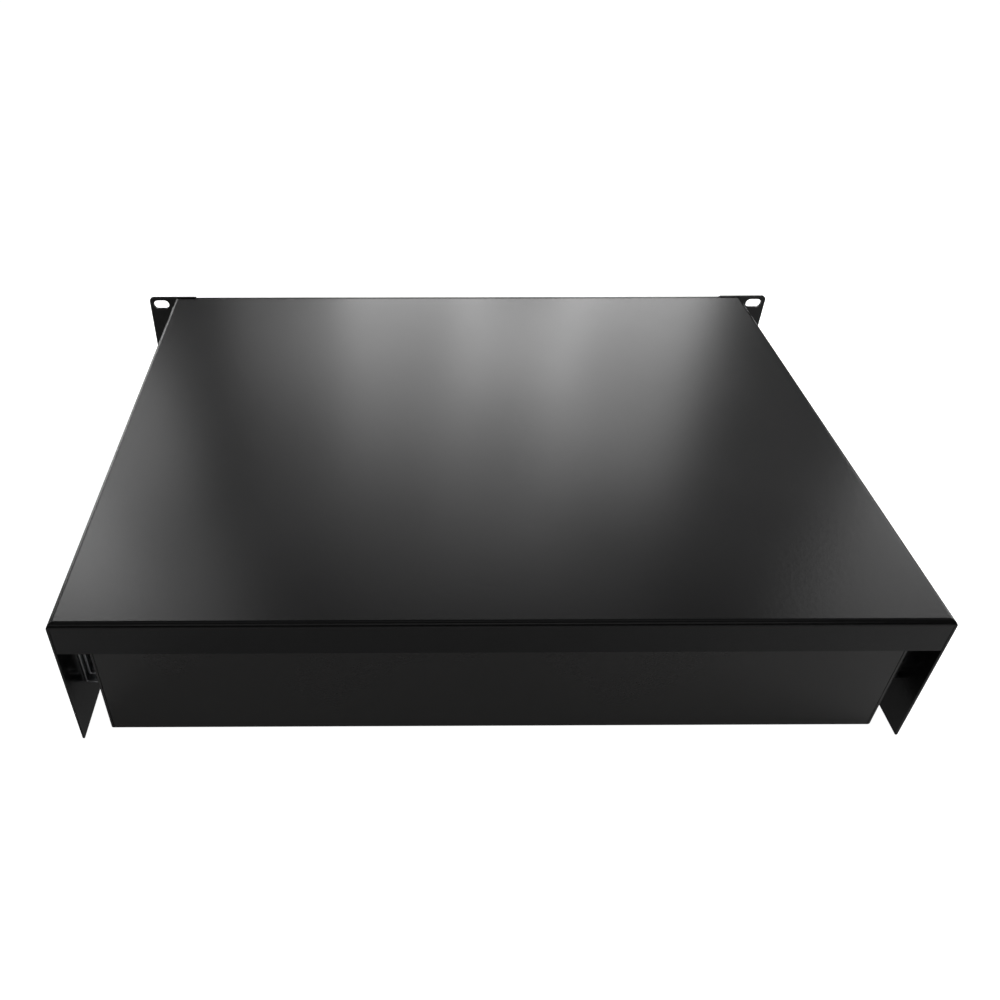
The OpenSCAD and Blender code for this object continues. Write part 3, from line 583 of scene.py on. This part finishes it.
def add_latches():
    """Knob and rod of each push-pull latch, and the split grommets that they spread."""
    ridges, groove = 24, 0.35
    shell_flange_r, slot_half = 7, 0.4

    def knurled(angle, r, z):
        """The knob's grip is ridged: the part of its head from 5.5 to 6 mm out and below 3.9 mm."""
        on_grip = 5.5 < r < 6.01 and z < 3.9
        return r - groove * (0.5 - 0.5 * math.cos(ridges * angle)) if on_grip else r

    low, high, middle = node_mm("latch_plunger_right")
    rod = high.y - low.y
    knob = lathe([(0.01, 0.45), (3.6, 0.45), (4.0, 0.0), (5.3, 0.0), (5.6, 0.2), (6.0, 0.7),
                  (6.0, 2.0), (6.0, 3.3), (5.6, 3.9), (4.8, 4.2), (4.8, 5.8), (5.6, 6.0),
                  (6.0, 6.3), (6.0, 6.8), (5.8, 7.0), (1.6, 7.0), (1.6, rod - 0.8), (0.9, rod),
                  (0.01, rod)], 144, shape=knurled)
    for side, shape in left_and_right(moved(knob, shift(middle.x, low.y, middle.z) @ Z_TO_REAR)):
        finish_piece(f"latch_knob_{side}", shape, f"latch_{side}", "black_plastic",
                     [f"latch_plunger_{side}"])
    low, high, middle = node_mm("latch_grommets")
    length = high.y - low.y
    shell = lathe([(1.66, 0.3), (2.3, 0.0), (6.2, 0.0), (7.0, 0.7), (7.0, 1.5), (4.2, 1.5),
                   (4.2, 3.5), (3.2, 3.9), (3.2, length - 2.6), (3.5, length - 1.9), (2.5, length),
                   (1.66, length)], 48, ring=True)
    slots = [block((-5, -slot_half, 4.0), (5, slot_half, length + 3), 0.05, 1),
             block((-slot_half, -5, 4.0), (slot_half, 5, length + 3), 0.05, 1)]
    place = shift(high.x - shell_flange_r, low.y, middle.z) @ Z_TO_REAR
    finish_piece("latch_shells", both_sides(moved(cut(shell, slots), place)), "drawer",
                 "black_plastic", ["latch_grommets"])


def add_slide_rivets():
    """Domed rivet heads on the sleeve's side walls."""
    low, high, middle = node_mm("slide_rivets")
    head_r, head_h, first_to_second = 3.8, 1, 137.8
    head = lathe([(0.01, 1.0), (1.6, 0.92), (2.8, 0.66), (3.5, 0.3), (head_r, 0.04), (head_r, 0.0),
                  (2.0, 0.0), (2.0, -2.4), (0.01, -2.4)], 36)
    bm = bmesh.new()
    for y in (low.y + head_r, low.y + first_to_second, high.y - head_r):
        join(bm, head, shift(high.x - head_h, y, middle.z) @ Z_TO_RIGHT)
    finish_piece("side_rivets", both_sides(bm), "chassis", "black_steel", ["slide_rivets"])


def add_tray_fixings():
    """Threaded studs and wing nuts that clamp the splice trays."""
    low, high, middle = node_mm("wing_nuts")
    seat = low.z
    wing_reach = 12.5
    x = high.x - wing_reach
    nut = lathe([(2.56, 0.3), (2.9, 0.0), (4.7, 0), (5.0, 0.3), (4.3, 4.6), (4.0, 5.6), (3.6, 6.0),
                 (2.9, 6.0), (2.56, 5.7)], 36, ring=True)
    outline = rounded(
        [(3.4, 1.2), (8.2, 1.6), (12.3, 6.4), (9.4, 11.3), (5.4, 8.6), (3.4, 4.6)],
        [0.3, 2.0, 2.4, 2.0, 2.6, 0.6], 5)
    wing = moved(prism(outline, -0.8, 0.8, 0.4), Z_TO_FRONT)
    join(nut, both_sides(wing))
    finish_piece("tray_wing_nuts", both_sides(moved(nut, shift(x, middle.y, seat))), "drawer",
                 "zinc_steel", ["wing_nuts"])
    low, high, middle = node_mm("tray_studs")
    stud = lathe([(0.01, low.z), (4.1, low.z), (4.5, low.z + 0.3), (4.5, low.z + 1),
                  (2.5, low.z + 1), (2.5, seat - 6)]
                 + thread(2.5, seat - 5.9, high.z - 0.8, 0.8, 0.35)
                 + [(1.9, high.z), (0.01, high.z)], 32)
    finish_piece("tray_stud_pair", both_sides(moved(stud, shift(x, middle.y))), "drawer",
                 "zinc_steel", ["tray_studs"])


def add_ground_stud():
    """Earthing stud with its washer and nut."""
    low, high, middle = node_mm("ground_stud")
    head, sheet, washer_t = 1, 1.2, 1.2
    floor_z = low.z + head + sheet
    bm = lathe([(0.01, low.z), (4.6, low.z), (5.0, low.z + 0.3), (5.0, low.z + head),
                (3.0, low.z + head), (3.0, floor_z)]
               + thread(3.0, floor_z + 0.1, high.z - 1.0, 1.0, 0.45)
               + [(2.2, high.z), (0.01, high.z)], 36)
    washer = lathe([(3.1, 0.15), (3.2, 0), (6.3, 0), (6.5, 0.2), (6.5, 1.0), (6.3, washer_t),
                    (3.2, washer_t), (3.1, 1.05)], 48, True)
    join(bm, washer, shift(z=floor_z))
    join(bm, hex_nut(3.05, 9.7, 5), shift(z=floor_z + washer_t))
    finish_piece("earthing_stud", moved(bm, shift(middle.x, middle.y)), "drawer", "brass",
                 ["ground_stud"])


# ------------------------------------------------------------------ slides

def slide_member(node, web_side, windows, window_size):
    """One rolled channel of a slide on the right.

    Its web is towards the wall if web_side is 1, and towards the drawer if it is -1. windows are
    the places along Y of the oblong holes in the web.
    """
    low, high, middle = node_mm(node)
    half = (high.z - low.z) / 2
    t = 1.2
    bend, tight, tip = 1.6, 0.6, 0.3
    web, lips = (high.x, low.x) if web_side > 0 else (low.x, high.x)
    inner = web - t * web_side
    outline = rounded([(lips, -half), (web, -half), (web, half), (lips, half), (lips, half - t),
                       (inner, half - t), (inner, t - half), (lips, t - half)],
                      [tip, bend, bend, tip, tip, tight, tight, tip])
    bm = moved(prism(outline, -high.y, -low.y, 0.25), shift(z=middle.z) @ Z_TO_FRONT)
    holes = [moved(prism(obround_outline(*window_size, 8), web - 3, web + 3, 0),
                   shift(0, y, middle.z) @ Z_TO_RIGHT) for y in windows]
    return cut(bm, holes)


def add_slides():
    """The three members of each slide."""
    for name, web_side, body, windows, size in (
            ("outer", 1, "chassis", (-96, -60, -20, 40, 80, 112), (16, 7)),
            ("middle", 1, "middle", (-110, -60, 30, 90, 140), (18, 8)),
            ("inner", -1, "drawer", (-100, -76, 40, 72, 100, 124), (12, 6))):
        rail = slide_member(f"slide_{name}_right", web_side, windows, size)
        for side, shape in left_and_right(rail):
            rides_on = f"middle_{side}" if body == "middle" else body
            finish_piece(f"{name}_rail_{side}", shape, rides_on, "zinc_steel",
                         [f"slide_{name}_{side}"])


def add_levers():
    """Release lever: a plate round its pin, tapered towards a ribbed finger pad."""
    low, high, middle = node_mm("release_lever_right")
    eye_r, tip_r, pin_hole_r = 4.5, 3, 2.05
    pivot, tip = high.y - eye_r, low.y + tip_r
    outline = (arc(pivot, 0, eye_r, -110, 110, 14) + [(pivot - 8, 2.0), (tip + 12, 2.0)]
               + arc(tip, 0, tip_r, 80, 280, 12) + [(tip + 12, -2.0), (pivot - 8, -2.0)])
    plate = cut(prism(outline, low.x, high.x, 0.3),
                [drill(pivot, 0, pin_hole_r, low.x - 3, high.x + 3)])
    # the two ribs come after the cut, because a boolean on shapes that overlap may lose one
    for rib in (tip + 6, tip + 8):
        join(plate, block((rib, -1.7, low.x - 0.3), (rib + 0.8, 1.7, low.x + 0.3), 0.1, 1))
    along = Matrix(((0, 0, 1, 0), (1, 0, 0, 0), (0, 1, 0, middle.z), (0, 0, 0, 1)))
    for side, shape in left_and_right(moved(plate, along)):
        finish_piece(f"lever_{side}_plate", shape, f"lever_{side}", "black_plastic",
                     [f"release_lever_{side}"])


# ---------------------------------------------------------- fibre handling

def tray_shell(w, d, h, corner, wall, base):
    """Open tray with a rounded rim, standing on z = 0."""
    def loop(inset, z):
        outline = rect_outline(w - 2 * inset, d - 2 * inset, corner - inset, 10)
        return [(x, y, z) for x, y in outline]

    return skin([loop(0.4, 0), loop(0, 0.4), loop(0, h - 0.35), loop(0.35, h), loop(wall - 0.35, h),
                 loop(wall, h - 0.35), loop(wall, base + 0.6), loop(wall + 0.6, base)])


TRAY_BASE = 1.5  # thickness of a splice tray's floor


def splice_tray_template():
    """Tray with an entry at each end of its long walls, and two hubs that the fibre turns round."""
    w, d, h, corner, wall, base = 170, 110, 10, 18, 1.2, TRAY_BASE
    hub_x, stud_hole_r = 42, 2.8
    tray = tray_shell(w, d, h, corner, wall, base)
    cutters = [block((x - 6, y - 3, base), (x + 6, y + 3, h + 5), 0.4)
               for x in (-59, 59) for y in (-d / 2, d / 2)]
    cutters += [drill(x, 0, stud_hole_r, -3, h + 3) for x in (-hub_x, hub_x)]
    tray = cut(tray, cutters)
    hub = lathe([(22.8, base - 0.5), (24, base - 0.5), (24, 8.2), (23.7, 8.5), (23.1, 8.5),
                 (22.8, 8.2)], 64, True)
    gap = block((20, -10, base), (28, 10, h + 3), 0.4)
    hub = cut(hub, [gap])
    boss = lathe([(stud_hole_r, 0.2), (3.1, 0), (5, 0), (5, h - 0.3), (4.7, h), (3.1, h),
                  (stud_hole_r, h - 0.3)], 32, True)
    join(hub, boss)
    # fingers that keep the fibre down: out from the hub, and a little higher in from the walls
    sunk, higher = 0.3, 1.3
    finger_outline = rounded([(-3, 0), (3, 0), (2.2, 6), (-2.2, 6)], [0, 0, 1.2, 1.2])
    finger = prism(finger_outline, 7.5, 8.4, 0.15)
    for angle in (60, 90, 300):
        join(hub, finger, turn(angle, "Z") @ shift(y=23.4))
    join(tray, both_sides(moved(hub, shift(hub_x))))
    for x in (-32, 0, 32):
        place = shift(x, -d / 2 + wall - sunk, higher)
        join(tray, finger, place)
        join(tray, finger, MIRROR_Y @ place)
    for y in (-22, 22):
        side_finger = bmesh.new()
        join(side_finger, finger, shift(-w / 2 + wall - sunk, y, higher) @ turn(-90, "Z"))
        join(tray, both_sides(side_finger))
    return tray


def splice_comb_template():
    """Foot and two rows of ribs with round tops, which the splice sleeves are pressed between."""
    rib_gap, row_x = 4.2, 7.5

    def layer(reach, y, half, z):
        return [(-reach, y - half, z), (-reach, y + half, z),
                (reach, y + half, z), (reach, y - half, z)]

    comb = block((-15, -14, 0), (15, 14, 1.0), 0.25)
    for k in range(7):
        y = (k - 3) * rib_gap
        rib = skin([layer(6, y, 0.65, 0.6), layer(6, y, 0.35, 4.4), layer(5.6, y, 0.12, 5.0)])
        join(comb, rib, shift(-row_x))
        join(comb, rib, shift(row_x))
    return comb


def add_splice_trays():
    """Three stacked trays with a comb in each. The clear lid on top is the CAD's own."""
    tray, comb, combs = splice_tray_template(), splice_comb_template(), bmesh.new()
    comb_middle = node_mm("splice_combs")[2]
    for k in (1, 2, 3):
        low, _, middle = node_mm(f"splice_tray_{k}")
        shape = bmesh.new()
        join(shape, tray, shift(middle.x, middle.y, low.z))
        finish_piece(f"splice_cassette_{k}", shape, "drawer", "tray_plastic", [f"splice_tray_{k}"])
        join(combs, comb, shift(comb_middle.x, comb_middle.y, low.z + TRAY_BASE))
    finish_piece("splice_holders", combs, "drawer", "tray_plastic", ["splice_combs"])


def add_spools():
    """Slack spools: a slotted hub with four arms below, and four above whose ends turn down."""
    low, high, middle = node_mm("slack_spool_right")
    h = high.z - low.z
    hub = lathe([(2.05, 0.3), (2.3, 0), (29.5, 0), (30, 0.5), (30, h - 0.5), (29.6, h), (28.4, h),
                 (28, h - 0.5), (28, 2.7), (27.3, 2), (2.3, 2), (2.05, 1.7)], 96, True)
    slots = [moved(block((-34, -4, 2), (34, 4, h + 4), 0.5), turn(angle, "Z"))
             for angle in (45, 135)]
    hub = cut(hub, slots)
    arm = block((28.6, -5, 0), (42, 5, 2), 0.5, 3)
    join(arm, block((28.6, -5, h - 2), (42, 5, h), 0.5, 3))
    join(arm, block((40, -5, h - 7), (42, 5, h - 0.2), 0.5, 3))
    for angle in (0, 90, 180, 270):
        join(hub, arm, turn(angle, "Z"))
    for side, shape in left_and_right(moved(hub, shift(middle.x, middle.y, low.z))):
        finish_piece(f"fibre_spool_{side}", shape, "drawer", "black_plastic",
                     [f"slack_spool_{side}"])


def add_clips():
    """Open clips that guide the fibres."""
    low, high, middle = node_mm("fibre_clips")
    half, clips = 8, 5
    outline = rounded([(-half, 0), (half, 0), (half, 14), (2, 14), (2, 12.5), (6.5, 12.5),
                       (6.5, 1.5), (-6.5, 1.5), (-6.5, 12.5), (-2, 12.5), (-2, 14), (-half, 14)],
                      [1, 1, 3, 0.6, 0.6, 1.6, 1.2, 1.2, 1.6, 0.6, 0.6, 3], 5)
    clip = moved(prism(outline, -6, 6, 0.35), Z_TO_FRONT)
    bm = bmesh.new()
    for k in range(clips):
        x = low.x + half + k * (high.x - low.x - 2 * half) / (clips - 1)
        join(bm, clip, shift(x, middle.y, low.z))
    finish_piece("fibre_guides", bm, "drawer", "cap_plastic", ["fibre_clips"])


def add_grommets():
    """Rubber edging of the cable entries: one section carried round an oblong."""
    _, high, middle = node_mm("cable_grommets")
    hole_h, hole_w, lip = 30, 8, 2.1
    # how far each point of the section stands out from the hole, and its place across the wall
    section = [(0, -1.6), (0.15, -1.9), (0.6, -lip), (3.2, -lip), (3.8, -1.8), (4.0, -1.3),
               (4.0, -0.6), (1.9, -0.6), (1.9, 0.6), (4.0, 0.6), (4.0, 1.3), (3.8, 1.8),
               (3.2, lip), (0.6, lip), (0.15, 1.9), (0, 1.6)]
    loops = [[(x, y, z) for y, z in obround_outline(hole_h + 2 * grow, hole_w + 2 * grow, 12)]
             for grow, x in section]
    bm = moved(skin(loops, ring=True), shift(high.x - lip, middle.y, middle.z))
    finish_piece("entry_edging", both_sides(bm), "drawer", "rubber", ["cable_grommets"])


def add_clamps():
    """Cable saddles: one strip bent over the cable, with a foot on each side."""
    low, high, middle = node_mm("cable_clamps")
    half, screw_hole_r, screw_from_middle = 6, 2.05, 11
    outline = ([(-16, 0), (-5, 0)] + arc(0, 5, 5, 180, 0, 16)
               + [(5, 0), (16, 0), (16, 2), (8.2, 2), (7.3, 2.4)]
               + arc(0, 5, 7, -14, 194, 20) + [(-7.3, 2.4), (-8.2, 2), (-16, 2)])
    strap = prism(outline, -half, half, 0.3)
    for x in (-screw_from_middle, screw_from_middle):
        strap = cut(strap, [moved(drill(0, 0, screw_hole_r, -5, 5), shift(x) @ Z_TO_FRONT)])
    # the strap is drawn across X and laid across Y
    along = Matrix(((0, 0, 1, high.x - half), (1, 0, 0, middle.y), (0, 1, 0, low.z), (0, 0, 0, 1)))
    finish_piece("cable_saddles", both_sides(moved(strap, along)), "drawer", "zinc_steel",
                 ["cable_clamps"])


# ------------------------------------------------------------ camera, lights

def direction(azimuth, elevation):
    """Unit vector towards a heading (0 is the front, -Y, and a quarter turn is +X) and height."""
    return Vector((math.sin(azimuth) * math.cos(elevation),
                   -math.cos(azimuth) * math.cos(elevation), math.sin(elevation)))


def add_camera():
    """The photograph's view: from behind and above, with the lens shifted sideways.

    Its numbers were solved from points measured on the photograph's outline and folds.
    """
    data = bpy.data.cameras.new("camera")
    data.sensor_width = 36.0
    data.lens = 32.763
    data.shift_x = 0.1079
    data.shift_y = -0.0065
    camera = bpy.data.objects.new("camera", data)
    SCENE.collection.objects.link(camera)
    azimuth, elevation = math.radians(179.697), math.radians(38.466)
    back = direction(azimuth, elevation)
    camera.location = (0.0551, REAR_Y + 0.3043, 0.4103)
    camera.rotation_mode = "QUATERNION"
    camera.rotation_quaternion = (-back).to_track_quat("-Z", "Y")
    SCENE.camera = camera


# Square softboxes: heading and elevation in degrees, and power in watts
SOFTBOXES = [
    (-20, 20, 1.60), (0, 20, 1.40), (30, 10, 0.60), (40, 10, 1.20), (50, 10, 1.90),
    (-50, 26, 1.32), (-30, 26, 0.07), (5, 26, 0.28), (10, 26, 0.50), (20, 26, 0.05),
    (-40, 32, 0.10), (-20, 32, 1.01), (0, 32, 0.77), (30, 32, 1.03),
    (-50, 39, 0.57), (-30, 39, 0.10), (-10, 39, 0.48), (10, 39, 0.27), (40, 39, 1.77),
    (-20, 47, 0.12), (0, 47, 0.18), (30, 47, 0.62),
]
# The same of a narrower light and of the banks beside, behind and above, each with its width and
# height in metres
LIGHT_BANKS = [
    (-10, 26, 1.47, 0.28, 0.32),
    (-80, 20, 12.5, 1.0, 0.8), (180, 38, 1.8, 1.8, 0.4), (180, 80, 0.9, 1.8, 0.5),
]
SOFTBOX_SIZE = 0.32  # a side of the square ones, in metres
SOFTBOX_DISTANCE = 1.6  # from the middle of the object's top, in metres
# The floor and the surroundings look pure white to the camera, but light the object only a little
FLOOR_GLOW = 0.085
WORLD_GLOW = 0.0
WHITE = 1.0


def add_softbox(heading, elevation, power, width=SOFTBOX_SIZE, height=SOFTBOX_SIZE):
    """A soft light aimed at the top of the object."""
    away = direction(math.radians(heading), math.radians(elevation))
    name = f"softbox_{heading}_{elevation}"
    data = bpy.data.lights.new(name, "AREA")
    data.shape = "RECTANGLE"
    data.size, data.size_y = width, height
    data.energy = power
    light = bpy.data.objects.new(name, data)
    SCENE.collection.objects.link(light)
    light.location = Vector((0, 0, TOP_Z)) + away * SOFTBOX_DISTANCE
    light.rotation_mode = "QUATERNION"
    light.rotation_quaternion = (-away).to_track_quat("-Z", "Y")


def brighter_to_camera(tree, socket, lit, seen):
    """Sets a strength to lit for the light given off, and to seen for what the camera sees."""
    path = tree.nodes.new("ShaderNodeLightPath")
    choice = tree.nodes.new("ShaderNodeMapRange")
    choice.inputs["To Min"].default_value = lit
    choice.inputs["To Max"].default_value = seen
    tree.links.new(path.outputs["Is Camera Ray"], choice.inputs["Value"])
    tree.links.new(choice.outputs["Result"], socket)


def add_studio():
    """Pale floor, pale surroundings and soft lights."""
    bpy.ops.mesh.primitive_plane_add(size=30)
    floor = bpy.context.object
    floor.name = "floor"
    m = Shader("floor", (0.86, 0.86, 0.86), 0.9, specular=0.0)
    m.set("Emission Color", (1.0, 1.0, 1.0, 1.0))
    brighter_to_camera(m.tree, m.bsdf.inputs["Emission Strength"], FLOOR_GLOW, WHITE)
    floor.data.materials.append(m.material)
    world = bpy.data.worlds.new("studio")
    SCENE.world = world
    world.use_nodes = True
    background = world.node_tree.nodes["Background"]
    background.inputs["Color"].default_value = (1.0, 1.0, 1.0, 1.0)
    brighter_to_camera(world.node_tree, background.inputs["Strength"], WORLD_GLOW, WHITE)
    for heading, elevation, power in SOFTBOXES:
        add_softbox(heading, elevation, power)
    for heading, elevation, power, width, height in LIGHT_BANKS:
        add_softbox(heading, elevation, power, width, height)
    SCENE.view_settings.view_transform = "Standard"


paint_frame()
add_adapters()
add_snap_rivets()
add_latches()
add_slide_rivets()
add_tray_fixings()
add_ground_stud()
add_slides()
add_levers()
add_splice_trays()
add_spools()
add_clips()
add_grommets()
add_clamps()
add_camera()
add_studio()
